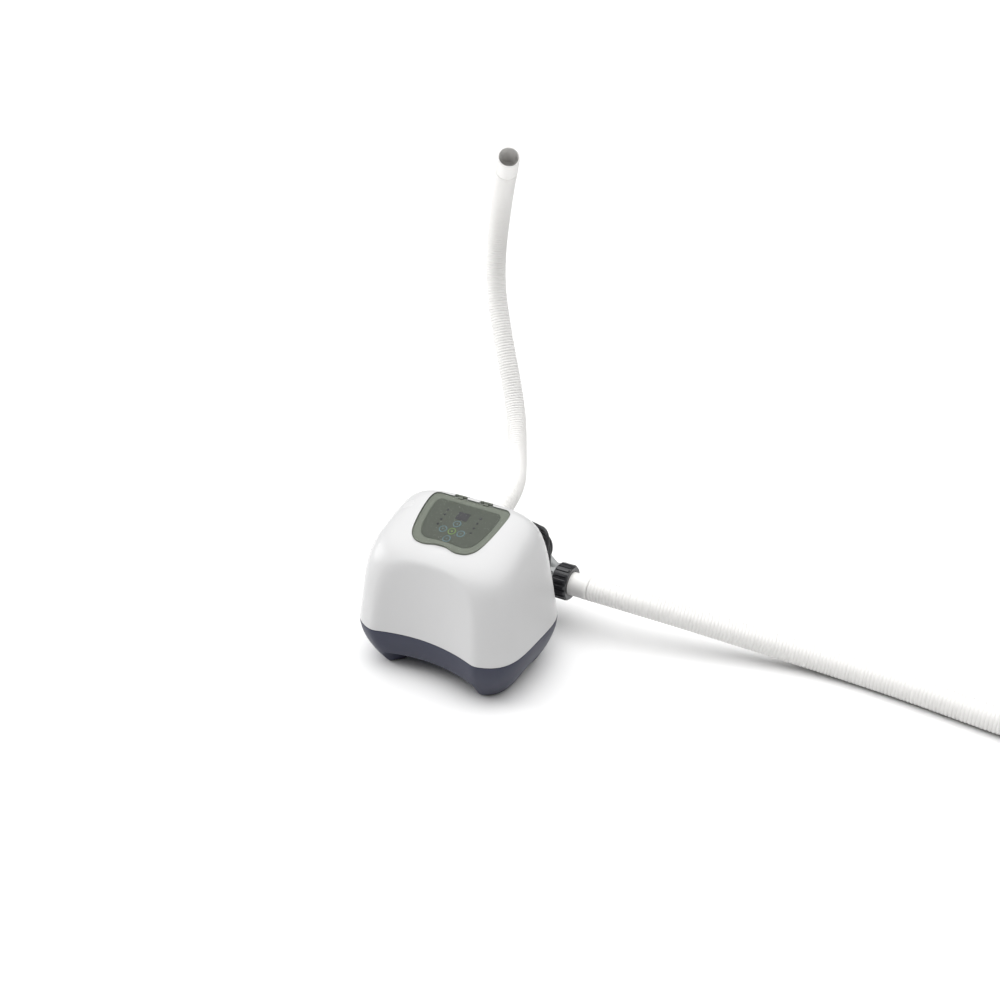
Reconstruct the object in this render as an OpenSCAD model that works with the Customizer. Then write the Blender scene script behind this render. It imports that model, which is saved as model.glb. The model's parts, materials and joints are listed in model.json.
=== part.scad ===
// Salt chlorine generator: a domed control unit on a four-footed base, with the flow-through
// cell behind it, two corrugated hoses and a mains lead. Millimetres, +Z up, front towards -Y.

/* [Casing] */
// Half of the casing's width at the seam
half_width = 158.5; // [157:0.5:160]
// Depth from the casing's centre to its front corners
front_depth = 124; // [122:1:126]
// Depth from the casing's centre to its rear face
rear_depth = 121; // [119:1:123]
// Squareness of the outline seen from above
outline_power = 4.1; // [3.8:0.1:4.4]
// Squareness of the shoulder seen from the side
shoulder_power = 7; // [6:0.5:8]
// Height of the seam between the base and the upper shell
seam_height = 87; // [85:1:89]
// Height of the top over the casing's centre
top_height = 268; // [266:1:270]
// Forward slope of the top, in degrees
top_tilt = 21; // [20:0.5:22]
// Depth of the hollow in the front face, at the seam
front_hollow = 23.8; // [22:0.2:25]
// Wall thickness of the two casing mouldings
wall = 3; // [2.5:0.1:3.2]

/* [Base] */
// How far the base draws in between the seam and the floor
base_inset = 36; // [34:1:38]
// Height of the arches between the feet
arch_height = 37; // [34:1:38]
// Thickness of the rubber pads under the feet
foot_pad = 2; // [1.5:0.5:2.5]

/* [Control panel] */
// Tilt of the panel, in degrees
panel_tilt = 19.5; // [19:0.5:20]
// Height of the panel's face over the casing's centre
panel_height = 264; // [263.5:0.5:264.5]
// Distance between the centres of neighbouring buttons
button_pitch = 17.4; // [17:0.1:17.8]
// Radius of a button cap
button_r = 6.6; // [6.2:0.1:6.8]
// Travel of a button
button_travel = 0.5; // [0.4:0.1:0.5]

/* [Cell and hoses] */
// Height of the cell's axis
cell_height = 84; // [82:1:86]
// Distance of the cell's axis behind the origin
cell_y = 112; // [111:1:113]
// Outer radius of the cell's barrel
cell_r = 28; // [27.5:0.5:28.5]
// Upward tilt of the rear port, in degrees
rear_port_tilt = 18; // [16:1:20]
// Outer radius of a hose over its ridges
hose_r = 22; // [21.5:0.5:22]
// Thickness of a hose's wall, ridges included
hose_wall = 2.5; // [2:0.1:2.8]
// Inner radius of a hose's end cuff
hose_bore_r = 19; // [18.8:0.1:19.2]

/* [Mains lead] */
// Radius of the mains lead
lead_r = 3.25; // [3:0.05:3.3]

/* [Hidden] */

$fn = 48;
case_y = -79;                      // the casing's centre, seen from above
lean_side = 0.113;                 // how far each face leans in at the top, as a share
lean_front = 0.20;
lean_rear = 0.378;
crown_x = 1;                       // crown of the top, mm at 100 mm from the centre
crown_y = 5;
steps = 60;                        // points round each ring of the casing
white = [0.93, 0.93, 0.92];
slate = [0.22, 0.24, 0.32];
sage = [0.52, 0.56, 0.50];
sage_dark = [0.38, 0.41, 0.37];
grey = [0.55, 0.56, 0.56];
black = [0.06, 0.06, 0.07];

// ---------------------------------------------------------------- outline and surfaces

function outline_r(p, b) =
    1 / pow(pow(abs(cos(p)) / half_width, outline_power)
          + pow(abs(sin(p)) / b, outline_power), 1 / outline_power);

// y of the hollow front face, relative to the casing's centre
function hollow_y(x, z) =
    let (rise = max(0, z - seam_height))
    -front_depth + front_hollow + rise * 0.108 - x * x * (0.00185 - rise * 0.0000027);

function top_z(x, y) =
    top_height + tan(top_tilt) * y - crown_x * pow(x / 100, 2) - crown_y * pow(y / 100, 2);

// a point of the shell: direction p, share of height zf, share of radius rf, inset t
function shell_point(p, zf, rf, t) =
    let (front = sin(p) < 0,
         b = front ? front_depth : rear_depth,
         r = outline_r(p, b) * rf,
         x = r * cos(p) * (1 - lean_side * zf) * (1 - t / half_width),
         y0 = r * sin(p) * (1 - (front ? lean_front : lean_rear) * zf) * (1 - t / b),
         z = seam_height + (top_z(x, y0) - t - seam_height) * zf,
         y = max(y0, hollow_y(x, z) + t))
    [x, y + case_y, z];

function shell_ring(zf, rf, t) = [for (i = [0:steps - 1]) shell_point(i * 360 / steps, zf, rf, t)];
function round_off(s) = pow(1 - pow(s, shoulder_power), 1 / shoulder_power);

outer_walls = [0, 0.15, 0.3, 0.45, 0.6, 0.72, 0.82, 0.89, 0.94, 0.975];
outer_roofs = [0.84, 0.7, 0.45];
inner_walls = [0, 0.3, 0.6, 0.8, 0.91, 0.97];
inner_roofs = [0.78, 0.5];

function shell_rings(t, walls, roofs) = concat(
    [for (s = walls) shell_ring(s, round_off(s), t)],
    [for (s = roofs) shell_ring(round_off(s), s, t)]);

function flip(list) = [for (i = [len(list) - 1:-1:0]) list[i]];
function middle(ring) = [for (k = [0:2]) [for (q = ring) q[k]] * [for (q = ring) 1] / len(ring)];

// closed surface through rings of equal length, closed at both ends by a fan
module ring_solid(rings, first, last) {
    n = len(rings[0]);
    m = len(rings);
    sides = [for (j = [0:m - 2], i = [0:n - 1], half = [0, 1])
        let (a = j * n + i, b = j * n + (i + 1) % n)
        half == 0 ? [a, b, b + n] : [a, b + n, a + n]];
    start = [for (i = [0:n - 1]) [m * n, (i + 1) % n, i]];
    end = [for (i = [0:n - 1]) [m * n + 1, (m - 1) * n + i, (m - 1) * n + (i + 1) % n]];
    polyhedron(concat([for (r = rings) each r], [first, last]), concat(start, sides, end));
}

// how far the base has drawn in at height z
function inset(z) = base_inset * pow((seam_height - z) / seam_height, 1.8);

// angle between direction p and the nearest foot
foot_angle = 31;
function from_foot(p) = abs(abs(((p + 360) % 180) - 90) - (90 - foot_angle));
function smooth(s) = let (c = min(1, max(0, s))) c * c * (3 - 2 * c);
function under_z(p) =
    foot_pad + (arch_height - foot_pad) * smooth((from_foot(p) - 12) / 8);

// a point of the base: direction p, height z, further inset t
function base_point(p, z, t) =
    let (q = shell_point(p, 0, 1, 0), s = inset(z) + t)
    [q[0] * (1 - s / half_width), case_y + (q[1] - case_y) * (1 - s / front_depth), z];

function base_ring(share, t) = [for (i = [0:steps - 1])
    let (p = i * 360 / steps) base_point(p, seam_height - share * (seam_height - under_z(p)), t)];
function level_ring(z, t) = [for (i = [0:steps - 1]) base_point(i * 360 / steps, z, t)];

// ---------------------------------------------------------------- casing

module base() {
    under = [for (i = [0:steps - 1]) let (p = i * 360 / steps, q = base_point(p, under_z(p), 26))
        [q[0], q[1], under_z(p)]];
    inner = [for (i = [0:steps - 1]) let (q = base_point(i * 360 / steps, arch_height, 34))
        [q[0], q[1], arch_height]];
    outside = [for (share = [1, 0.97, 0.85, 0.7, 0.5, 0.3, 0.15, 0]) base_ring(share, 0)];
    inside = [for (z = [seam_height, 70, 54, floor_z]) level_ring(z, wall)];
    color(slate)
    difference() {
        union() {
            ring_solid(flip(concat([inner, under], outside, inside)),
                [0, case_y, floor_z], [0, case_y, arch_height]);
            for (p = screw_places)
                translate([p[0], case_y + p[1], floor_z - 2])
                    cylinder(r = 6, h = seam_height + 0.8 - floor_z + 2);
        }
        for (p = screw_places)
            translate([p[0], case_y + p[1], arch_height - 1])
                cylinder(r = 2.4, h = 60);
        for (x = cradle_x)
            translate([x - 0.2, 20, arm_z - 0.2])
                cube([cradle_w + 0.4, 40, arm_h + 0.4]);
    }
}

// the four screws that join the mouldings, seen from the casing's centre, and the lug
// of the upper shell that each goes into: low corner and size, seen from the same place
screw_places = [[-134, 0], [134, 0], [0, -82], [0, 100]];
screw_length = 62;
lugs = [[[-156.5, -8], [29.5, 16]], [[127, -8], [29.5, 16]],
    [[-8, -98.4], [16, 23]], [[-8, 93], [16, 25]]];
lug_low = seam_height + 1.1;
lug_height = 9;

module rubber_feet() {
    color(black)
    for (a = [foot_angle, 180 - foot_angle, 180 + foot_angle, 360 - foot_angle]) {
        q = base_point(a, foot_pad, 13);
        translate([q[0], q[1], 0])
            cylinder(r = 10, h = foot_pad);
    }
}

module casing_screws() {
    color("silver")
    for (p = screw_places)
        translate([p[0], case_y + p[1], arch_height - 2.6]) {
            cylinder(r = 4, h = 2.4);
            cylinder(r = 2, h = screw_length);
        }
}

module seam_seal() {
    color(black)
    translate([0, 0, seam_height - 2.5])
        linear_extrude(2.5)
            difference() {
                polygon([for (q = level_ring(seam_height, wall + 0.25)) [q[0], q[1]]]);
                polygon([for (q = level_ring(seam_height, wall + 3.2)) [q[0], q[1]]]);
            }
}

module upper_shell() {
    outer = flip(shell_rings(0, outer_walls, outer_roofs));
    inner = shell_rings(wall, inner_walls, inner_roofs);
    color(white)
    difference() {
        union() {
            ring_solid(concat(outer, inner),
                [0, case_y, top_height], [0, case_y, top_height - wall]);
            for (lug = lugs)
                translate([lug[0][0], case_y + lug[0][1], lug_low])
                    cube([lug[1][0], lug[1][1], lug_height]);
        }
        for (p = screw_places)
            translate([p[0], case_y + p[1], lug_low - 1])
                cylinder(r = 2.1, h = lug_height + 2);
        in_panel() translate([0, 0, -14]) linear_extrude(40) shield(0.3);
        in_panel() for (x = hinge_x) translate([x - 14, 50, -3]) cube([28, 14, 30]);
        translate([gland_x, gland_y - 30, gland_z]) rotate([-90, 0, 0]) cylinder(r = 6.1, h = 60);
        translate([hook_x, gland_y - 30, hook_z]) rotate([-90, 0, 0]) cylinder(r = 4.05, h = 60);
        for (lead = [cell_lead_path, sensor_lead_path])
            translate(lead[len(lead) - 1]) rotate([-90, 0, 0]) cylinder(r = 3.4, h = 30);
    }
}

// ---------------------------------------------------------------- control panel

hinge_x = [-25, 25];
hinge_w = 57.5;
hinge_n = 1.6;
buttons = [[0, 0], [0, -2 * button_pitch], [-button_pitch, -button_pitch],
    [button_pitch, -button_pitch], [0, -button_pitch]];
display_at = [0.6, 18];
led_places = [for (x = [-32, 32], k = [0:3]) [x, 23.6 - k * 11.4]];

// children are placed in the panel's own frame: x across, y up the slope, z out of the face
module in_panel() {
    translate([0, case_y, panel_height]) rotate([panel_tilt, 0, 0]) children();
}

// half of the panel's outline, from the rear corner round to the notch at the front
half_shield = [[66, 54.5], [72, 52], [76, 46.5], [77.4, 38], [77.2, 28], [75.6, 9], [72.6, -11],
    [68.6, -29], [64, -41.5], [58, -49.5], [50.5, -55], [42, -57.6], [32, -58.4], [24, -57.4],
    [17, -55.2], [10, -53.2], [3.5, -52.4]];

module shield(grow) {
    s = 1 + grow / 65;
    side = [for (q = half_shield) q * s];
    polygon(concat(side, [for (q = flip(side)) [-q[0], q[1]]]));
}

module inner_shield() {
    side = [[54, 43.5], [60, 41], [63, 36], [63.6, 28], [62, 6], [58, -16], [52.5, -31], [46, -39.5],
        [36, -43.6], [24, -43.2], [14, -42.2]];
    polygon(concat(side, [for (q = flip(side)) [-q[0], q[1]]]));
}

module panel_tray() {
    color(sage)
    in_panel() difference() {
        union() {
            translate([0, 0, -4]) linear_extrude(4.8) shield(0);
            for (x = hinge_x)
                translate([x - 5, 52, -2]) cube([10, 7.6, 4.4]);
            for (x = hinge_x)
                translate([x - 5, hinge_w, hinge_n]) rotate([0, 90, 0]) cylinder(r = 2.2, h = 10);
        }
        translate([0, 0, -0.6]) linear_extrude(3) inner_shield();
        for (b = buttons) translate([b[0], b[1], -5]) cylinder(r = button_r + 0.3, h = 6);
        for (p = led_places) translate([p[0], p[1], -5]) cylinder(r = 1.6, h = 6);
        translate([display_at[0] - 11.2, display_at[1] - 8.7, -5]) cube([22.4, 17.4, 6]);
        for (x = hinge_x)
            translate([x - 6, hinge_w, hinge_n]) rotate([0, 90, 0]) cylinder(r = 1.05, h = 12);
        for (x = [-66, 66], w = [-20, 30]) translate([x, w, -5]) cylinder(r = 1.2, h = 4);
    }
}

module panel_membrane() {
    color(sage_dark)
    in_panel() difference() {
        translate([0, 0, -0.6]) linear_extrude(0.6) offset_shield();
        for (b = buttons) translate([b[0], b[1], -1]) cylinder(r = button_r + 0.3, h = 2);
        for (p = led_places) translate([p[0], p[1], -1]) cylinder(r = 1.6, h = 2);
        translate([display_at[0] - 11.2, display_at[1] - 8.7, -1]) cube([22.4, 17.4, 2]);
    }
}

module offset_shield() {
    scale(0.996) inner_shield();
}

module display_window() {
    color([0.10, 0.07, 0.12])
    in_panel() translate([display_at[0] - 11, display_at[1] - 8.5, -1.2]) cube([22, 17, 1.3]);
}

module display_module() {
    color([0.15, 0.15, 0.15])
    in_panel() translate([display_at[0] - 10.5, display_at[1] - 8, -8.9]) cube([21, 16, 7.5]);
}

module status_leds() {
    color([0.12, 0.10, 0.16])
    in_panel() for (p = led_places) translate([p[0], p[1], 0]) {
        translate([0, 0, -8.9]) cylinder(r = 1.5, h = 8.4);
        translate([0, 0, -0.5]) sphere(r = 1.5);
    }
}

module button(k) {
    in_panel() translate([buttons[k][0], buttons[k][1], 0]) {
        translate([0, 0, -2.4]) cylinder(r = button_r, h = 2.7);
        translate([0, 0, -4.7]) cylinder(r = 1.8, h = 2.4);
    }
}

module button_top() { color(sage_dark) button(0); }
module button_bottom() { color(sage_dark) button(1); }
module button_left() { color(sage_dark) button(2); }
module button_right() { color(sage_dark) button(3); }
module button_centre() { color(sage_dark) button(4); }

module panel_board() {
    color([0.05, 0.30, 0.16])
    in_panel() difference() {
        translate([-56, -42, -10.5]) cube([112, 78, 1.6]);
        for (x = [-50, 50], w = [-36, 30]) translate([x, w, -11]) cylinder(r = 1.7, h = 3);
    }
}

module tact_switches() {
    color([0.2, 0.2, 0.2])
    in_panel() for (b = buttons) translate([b[0], b[1], -8.9]) {
        translate([-3, -3, 0]) cube([6, 6, 2.6]);
        cylinder(r = 1.6, h = 3.6);
    }
}

module panel_screws() {
    color("silver")
    in_panel() for (x = [-50, 50], w = [-36, 30]) translate([x, w, -13]) {
        cylinder(r = 3, h = 2.4);
        cylinder(r = 1.5, h = 8.9);
    }
}

module panel_cover() {
    color([0.85, 0.90, 0.88, 0.35])
    in_panel() difference() {
        union() {
            difference() {
                translate([0, 0, 1.2]) linear_extrude(1.8) shield(0);
                for (x = hinge_x) translate([x - 6, 49.5, 0]) cube([12, 12, 4]);
            }
            for (x = hinge_x, side = [-1, 1])
                translate([x + side * 8.6 - 2.8, 50, 1.2]) cube([5.6, 7.5, 1.8]);
            for (x = hinge_x, side = [-1, 1])
                translate([x + side * 8.6 - 2.8, hinge_w, hinge_n]) rotate([0, 90, 0])
                    cylinder(r = 2.2, h = 5.6);
        }
        for (x = hinge_x)
            translate([x - 12, hinge_w, hinge_n]) rotate([0, 90, 0]) cylinder(r = 1.05, h = 24);
    }
}

module hinge_pins() {
    color("silver")
    in_panel() for (x = hinge_x)
        translate([x - 11.4, hinge_w, hinge_n]) rotate([0, 90, 0]) cylinder(r = 1, h = 22.8);
}

// ---------------------------------------------------------------- inside the casing

board = [-22, -131, 53];           // the main board's low corner
board_size = [130, 98, 1.6];
board_holes = [for (x = [6, 124], y = [6, 92]) [board[0] + x, board[1] + y]];
floor_z = arch_height + 4;

module main_board() {
    color([0.05, 0.30, 0.16])
    difference() {
        translate(board) cube(board_size);
        for (h = board_holes) translate([h[0], h[1], board[2] - 1]) cylinder(r = 1.7, h = 4);
    }
}

module board_posts() {
    color([0.75, 0.62, 0.30])
    for (h = board_holes) translate([h[0], h[1], floor_z]) cylinder(r = 3.2, h = board[2] - floor_z);
}

module board_screws() {
    color("silver")
    for (h = board_holes) translate([h[0], h[1], board[2] + board_size[2]]) {
        cylinder(r = 2.9, h = 2);
        translate([0, 0, -1.6]) cylinder(r = 1.5, h = 1.6);
    }
}

module transformer() {
    color([0.25, 0.25, 0.27])
    translate([-112, -108, floor_z]) {
        cube([66, 56, 44]);
        translate([10, -9, 10]) cube([46, 74, 30]);
        translate([-6, 18, 0]) cube([78, 20, 2.5]);
    }
}

module heat_sink() {
    color([0.75, 0.76, 0.78])
    translate([board[0] + 64, board[1] + 66, board[2] + 1.6]) {
        cube([52, 30, 5]);
        for (k = [0:8]) translate([k * 6, 0, 5]) cube([2.4, 30, 24]);
    }
}

module capacitors() {
    color([0.12, 0.14, 0.25])
    for (k = [0:2]) translate([board[0] + 18, board[1] + 22 + k * 26, board[2] + 1.6])
        cylinder(r = 9, h = 30);
}

module relays() {
    color([0.10, 0.22, 0.50])
    for (k = [0:1]) translate([board[0] + 42, board[1] + 14 + k * 30, board[2] + 1.6])
        cube([16, 24, 16]);
}

module terminal_block() {
    color([0.15, 0.45, 0.22])
    translate([board[0] + 70, board[1] + 14, board[2] + 1.6]) {
        cube([44, 12, 8]);
        for (k = [0:4]) translate([4 + k * 9, 6, 8]) cylinder(r = 2.4, h = 1.2);
    }
}

// flat ribbon from the main board up to the panel board
module panel_ribbon() {
    color([0.70, 0.70, 0.72])
    translate([37, 0, 0]) rotate([90, 0, 90])
        linear_extrude(18)
            polygon([[-92, 55.2], [-86, 55.2], [-82, 60], [-78, 150], [-66, 257.2], [-68, 256.5],
                [-80, 151], [-84, 61], [-87, 56.4], [-92, 56.4]]);
}

// ---------------------------------------------------------------- cell

rear_port = [-98, cell_y, cell_height];
port_dir = [0, cos(rear_port_tilt), sin(rear_port_tilt)];
neck_r = 25.5;
neck_bore_r = 17;
neck_start = 94;                   // where the thread under the right nut starts
branch_x = 115.7;                  // where the sensor's axis meets the cell's
branch_turn = -49;                 // lean of the sensor's branch, from upright towards -X
branch_top = 64;                   // distance of the branch's open end along its axis
probe_r = 4.3;

module along_x(x) { translate([x, cell_y, cell_height]) rotate([0, 90, 0]) children(); }
module along_port(d) {
    translate(rear_port + d * port_dir) rotate([-90 + rear_port_tilt, 0, 0]) children();
}
module along_branch(d) {
    translate([branch_x, cell_y, cell_height]) rotate([0, branch_turn, 0])
        translate([0, 0, d]) children();
}

module cell_housing() {
    color(grey)
    difference() {
        union() {
            along_x(-98) cylinder(r = cell_r, h = 184);
            along_x(80) cylinder(r = 30, h = neck_start - 0.4 - 80);
            along_x(86) cylinder(r = neck_r, h = 20);
            translate(rear_port) sphere(r = cell_r);
            along_port(0) cylinder(r = cell_r - 0.5, h = 42);
            along_port(42) cylinder(r = neck_r, h = 20);
            along_x(-72) cylinder(r = cell_r + 2, h = 5);
            along_x(46) cylinder(r = cell_r + 2, h = 5);
            intersection() {
                along_branch(25) cylinder(r = 9, h = branch_top - 25);
                translate([40, cell_y - 20, cell_height + 18]) cube([neck_start - 40.6, 40, 60]);
            }
            translate([-40, cell_y - 12, cell_height + 20]) cube([34, 24, 12]);
        }
        along_x(-98) cylinder(r = cell_r - 5, h = 178);
        along_x(70) cylinder(r = neck_bore_r, h = 50);
        translate(rear_port) sphere(r = cell_r - 5);
        along_port(0) cylinder(r = neck_bore_r, h = 80);
        along_branch(18) cylinder(r = probe_r + 0.15, h = 60);
        for (x = [-32, -14]) translate([x, cell_y, cell_height + 18]) cylinder(r = 2.1, h = 20);
    }
}

module electrode_plates() {
    color([0.45, 0.45, 0.48])
    for (k = [-2:2]) translate([-55, cell_y - 14, cell_height - 0.5 + k * 6]) cube([96, 28, 1]);
}

module plate_combs() {
    color([0.85, 0.85, 0.82])
    for (x = [-50, 32]) difference() {
        translate([x, cell_y - 17.6, cell_height - 14.2]) cube([4, 35.2, 28.4]);
        for (k = [-2:2]) translate([x - 1, cell_y - 14.1, cell_height - 0.55 + k * 6])
            cube([6, 28.2, 1.1]);
        for (k = [-1.5:1.5]) translate([x - 1, cell_y - 12, cell_height - 1.8 + k * 6])
            cube([6, 24, 3.6]);
    }
}

module cell_terminals() {
    color([0.72, 0.72, 0.70])
    for (k = [0, 1]) translate([k == 0 ? -32 : -14, cell_y, cell_height]) {
        translate([0, 0, 12.5]) cylinder(r = 2, h = 29);
        translate([0, 0, 32]) cylinder(r = 4, h = 3);
    }
}

module terminal_cap() {
    color(black)
    difference() {
        translate([-42, cell_y - 14, cell_height + 32]) cube([38, 28, 16]);
        translate([-40, cell_y - 12, cell_height + 31]) cube([34, 24, 15]);
        translate([-23, cell_y - 20, cell_height + 40]) rotate([-90, 0, 0])
            cylinder(r = 3.05, h = 10);
    }
}

// swept tube through hand-placed points: smooth curve, rings square to it
function curve_at(P, k, t) =
    let (a = P[max(0, k - 1)], b = P[k], c = P[k + 1], d = P[min(len(P) - 1, k + 2)])
    0.5 * ((2 * b) + (c - a) * t + (2 * a - 5 * b + 4 * c - d) * t * t
        + (3 * b - a - 3 * c + d) * t * t * t);
function curve(P, n) = concat([for (k = [0:len(P) - 2], i = [0:n - 1]) curve_at(P, k, i / n)],
    [P[len(P) - 1]]);
function unit(v) = v / norm(v);
function tangent(C, i) = unit(C[min(len(C) - 1, i + 1)] - C[max(0, i - 1)]);
function carry(n, t) = unit(n - (n * t) * t);
function sides_of(C, i, n) = i >= len(C) ? [] :
    let (m = carry(n, tangent(C, i))) concat([m], sides_of(C, i + 1, m));
function hoop(c, t, n, r, count) =
    [for (j = [0:count - 1]) let (a = j * 360 / count) c + r * (cos(a) * n - sin(a) * cross(t, n))];

function hoops(C, up, r, count) =
    let (N = sides_of(C, 0, carry(up, tangent(C, 0))))
    [for (i = [0:len(C) - 1]) hoop(C[i], tangent(C, i), N[i], r, count)];

module tube(points, r, count, per_span, up) {
    C = curve(points, per_span);
    ring_solid(hoops(C, up, r, count), C[0], C[len(C) - 1]);
}

// the same with a bore: one skin through the outer rings and back through the inner ones
module pipe(points, r, bore_r, count, up) {
    rings = concat(hoops(points, up, r, count), flip(hoops(points, up, bore_r, count)));
    m = len(rings);
    polyhedron([for (ring = rings) each ring], [for (j = [0:m - 1], i = [0:count - 1], half = [0, 1])
        let (a = j * count, b = (j + 1) % m * count, next = (i + 1) % count)
        half == 0 ? [a + i, a + next, b + next] : [a + i, b + next, b + i]]);
}

cell_lead_path = [[-23, 98, 124], [-23, 84, 125], [-24, 66, 133], [-24, 50, 150], [-24, 36, 162],
    [-24, 16, 164]];
sensor_lead_path = [[46, 112, 144], [40, 107, 149], [32, 92, 155], [22, 68, 156], [16, 44, 151],
    [16, 20, 150]];

module cell_lead() { color(black) tube(cell_lead_path, 3, 8, 3, [1, 0, 0]); }
module sensor_lead() { color(black) tube(sensor_lead_path, 2.2, 8, 3, [0, 0, 1]); }

cradle_x = [-62, 0];
cradle_w = 14;
cradle_y = [42.5, 152];            // front and rear ends of a cradle, outside the casing
arm_z = 54;                        // underside and height of the arm that goes into the base
arm_h = 18;
strap_y = [cell_y - 34.5, cell_y + 34.5];

module cell_cradle() {
    color(slate)
    for (x = cradle_x) difference() {
        union() {
            translate([x, cradle_y[0], 50]) cube([cradle_w, cradle_y[1] - cradle_y[0], cell_height - 50]);
            translate([x, 30, arm_z]) cube([cradle_w, 16, arm_h]);
        }
        along_x(x - 1) cylinder(r = cell_r + 0.1, h = cradle_w + 2);
        for (y = strap_y) translate([x + cradle_w / 2, y, 62]) cylinder(r = 1.3, h = 30);
    }
}

module cell_straps() {
    color(slate)
    for (x = cradle_x) difference() {
        union() {
            along_x(x) cylinder(r = cell_r + 3, h = cradle_w);
            translate([x, strap_y[0] - 5.5, cell_height]) cube([cradle_w, strap_y[1] - strap_y[0] + 11, 4]);
        }
        along_x(x - 1) cylinder(r = cell_r + 0.1, h = cradle_w + 2);
        translate([x - 1, 70, cell_height - 50]) cube([cradle_w + 2, 84, 50]);
        for (y = strap_y) translate([x + cradle_w / 2, y, 70]) cylinder(r = 1.6, h = 30);
    }
}

module strap_screws() {
    color("silver")
    for (x = cradle_x, y = strap_y) translate([x + cradle_w / 2, y, cell_height + 4]) {
        cylinder(r = 2.8, h = 2.2);
        translate([0, 0, -20]) cylinder(r = 1.25, h = 20);
    }
}

module flow_sensor() {
    color([0.80, 0.81, 0.80])
    union() {
        along_branch(26) cylinder(r = probe_r, h = branch_top - 25);
        along_branch(branch_top) cylinder(r = 8.7, h = 2.5);
        along_branch(branch_top + 2.5) cylinder(r = 7.6, h = 22);
        along_branch(branch_top + 24.5) cylinder(r1 = 7.6, r2 = 3.6, h = 4);
        for (side = [-1, 1]) along_branch(19.6) translate([-1.2, side * 3.5 - 0.6, 0]) cube([2.4, 1.2, 7]);
    }
}

nut_low = 57.4;                    // distance of the sensor nut's lower face along the branch

module sensor_nut() {
    color([0.80, 0.81, 0.80])
    difference() {
        along_branch(nut_low) cylinder(r = 12, h = 11.5);
        along_branch(nut_low - 1) cylinder(r = 9.05, h = branch_top + 2.7 - nut_low + 1);
        along_branch(nut_low) cylinder(r = 7.65, h = 14);
        along_branch(nut_low) for (k = [0:11]) rotate([0, 0, k * 30])
            translate([12.5, 0, -1]) cylinder(r = 1.2, h = 14);
    }
}

// pivot of the paddle, between the sensor's two ears
pivot_d = 21.2;
paddle_pivot = [branch_x - pivot_d * sin(-branch_turn), cell_y, cell_height + pivot_d * cos(branch_turn)];

module flow_paddle() {
    color([0.85, 0.45, 0.15])
    translate(paddle_pivot) {
        rotate([90, 0, 0]) translate([0, 0, -2.8]) cylinder(r = 1.2, h = 5.6);
        translate([-0.8, -2.4, -22]) cube([1.6, 4.8, 21.5]);
        translate([-0.8, -6, -22]) cube([1.6, 12, 12]);
    }
}

// ---------------------------------------------------------------- ports and hoses

module union_nut() {
    difference() {
        union() {
            cylinder(r = 31.5, h = 30);
            for (k = [0:17]) rotate([0, 0, k * 20])
                translate([29, -2.6, 2]) cube([4.5, 5.2, 26]);
        }
        translate([0, 0, -1]) cylinder(r = neck_r + 0.05, h = 18.3);
        translate([0, 0, 17]) cylinder(r = hose_r + 0.3, h = 20);
    }
}

cuff_length = 52;

module hose_end() {
    difference() {
        union() {
            cylinder(r = hose_r - 0.3, h = cuff_length);
            cylinder(r = neck_r - 0.3, h = 3);
        }
        translate([0, 0, -1]) cylinder(r = hose_bore_r, h = cuff_length + 2);
    }
}

module hose_seal() {
    difference() {
        cylinder(r = neck_r - 0.4, h = 2);
        translate([0, 0, -1]) cylinder(r = neck_bore_r + 1.5, h = 4);
    }
}

module right_nut() { color(black) along_x(neck_start) union_nut(); }
module rear_nut() { color(black) along_port(50) union_nut(); }
module right_seal() { color(black) along_x(106) hose_seal(); }
module rear_seal() { color(black) along_port(62) hose_seal(); }
module right_cuff() { color(white) along_x(108) hose_end(); }
module rear_cuff() { color(white) along_port(64) hose_end(); }

// routes of the two hoses, from the end of the near cuff to the start of the far one
right_route = [[160, 112, 84], [195, 113.5, 83], [230, 117.5, 80.5], [300, 131, 71.5], [370, 148.5, 59],
    [440, 167, 45.5], [510, 183, 33.5], [580, 193, 25], [650, 194, 22.5], [720, 190, 22.5],
    [790, 184, 22.5], [860, 178, 22.5], [920, 176, 22.5], [975, 179, 22.5], [1041, 194, 22.5],
    [1102, 232, 22.5], [1144, 291, 22.5], [1160, 361, 22.5], [1149, 433, 22.5], [1111, 495, 22.5],
    [1054, 538, 22.5], [986, 556, 22.5]];
rear_route = [[-98, 222, 120], [-98, 240, 126], [-102, 276, 135], [-116, 320, 141], [-140, 368, 144],
    [-168, 418, 155], [-197, 470, 191], [-226, 506, 245], [-250, 526, 300], [-272, 543, 350],
    [-292, 560, 397], [-308, 573, 445], [-315, 580, 500], [-310, 577, 560], [-290, 556, 624],
    [-259, 515, 681], [-216, 455, 737]];

module right_hose() { color(white) pipe(right_route, hose_r, hose_r - hose_wall, 12, [0, 0, 1]); }
module rear_hose() { color(white) pipe(rear_route, hose_r, hose_r - hose_wall, 12, [1, 0, 0]); }

// a hose end placed on the last point of a route, opening along the route
module far_end(route) {
    a = route[len(route) - 2];
    b = route[len(route) - 1];
    d = unit(b - a);
    translate(b) rotate([0, acos(d[2]), atan2(d[1], d[0])])
        difference() {
            cylinder(r = hose_r - 0.3, h = 50);
            translate([0, 0, -1]) cylinder(r = hose_bore_r, h = 60);
        }
}

module right_end_cuff() { color(white) far_end(right_route); }
module rear_end_cuff() { color(white) far_end(rear_route); }

// ---------------------------------------------------------------- mains lead

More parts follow.
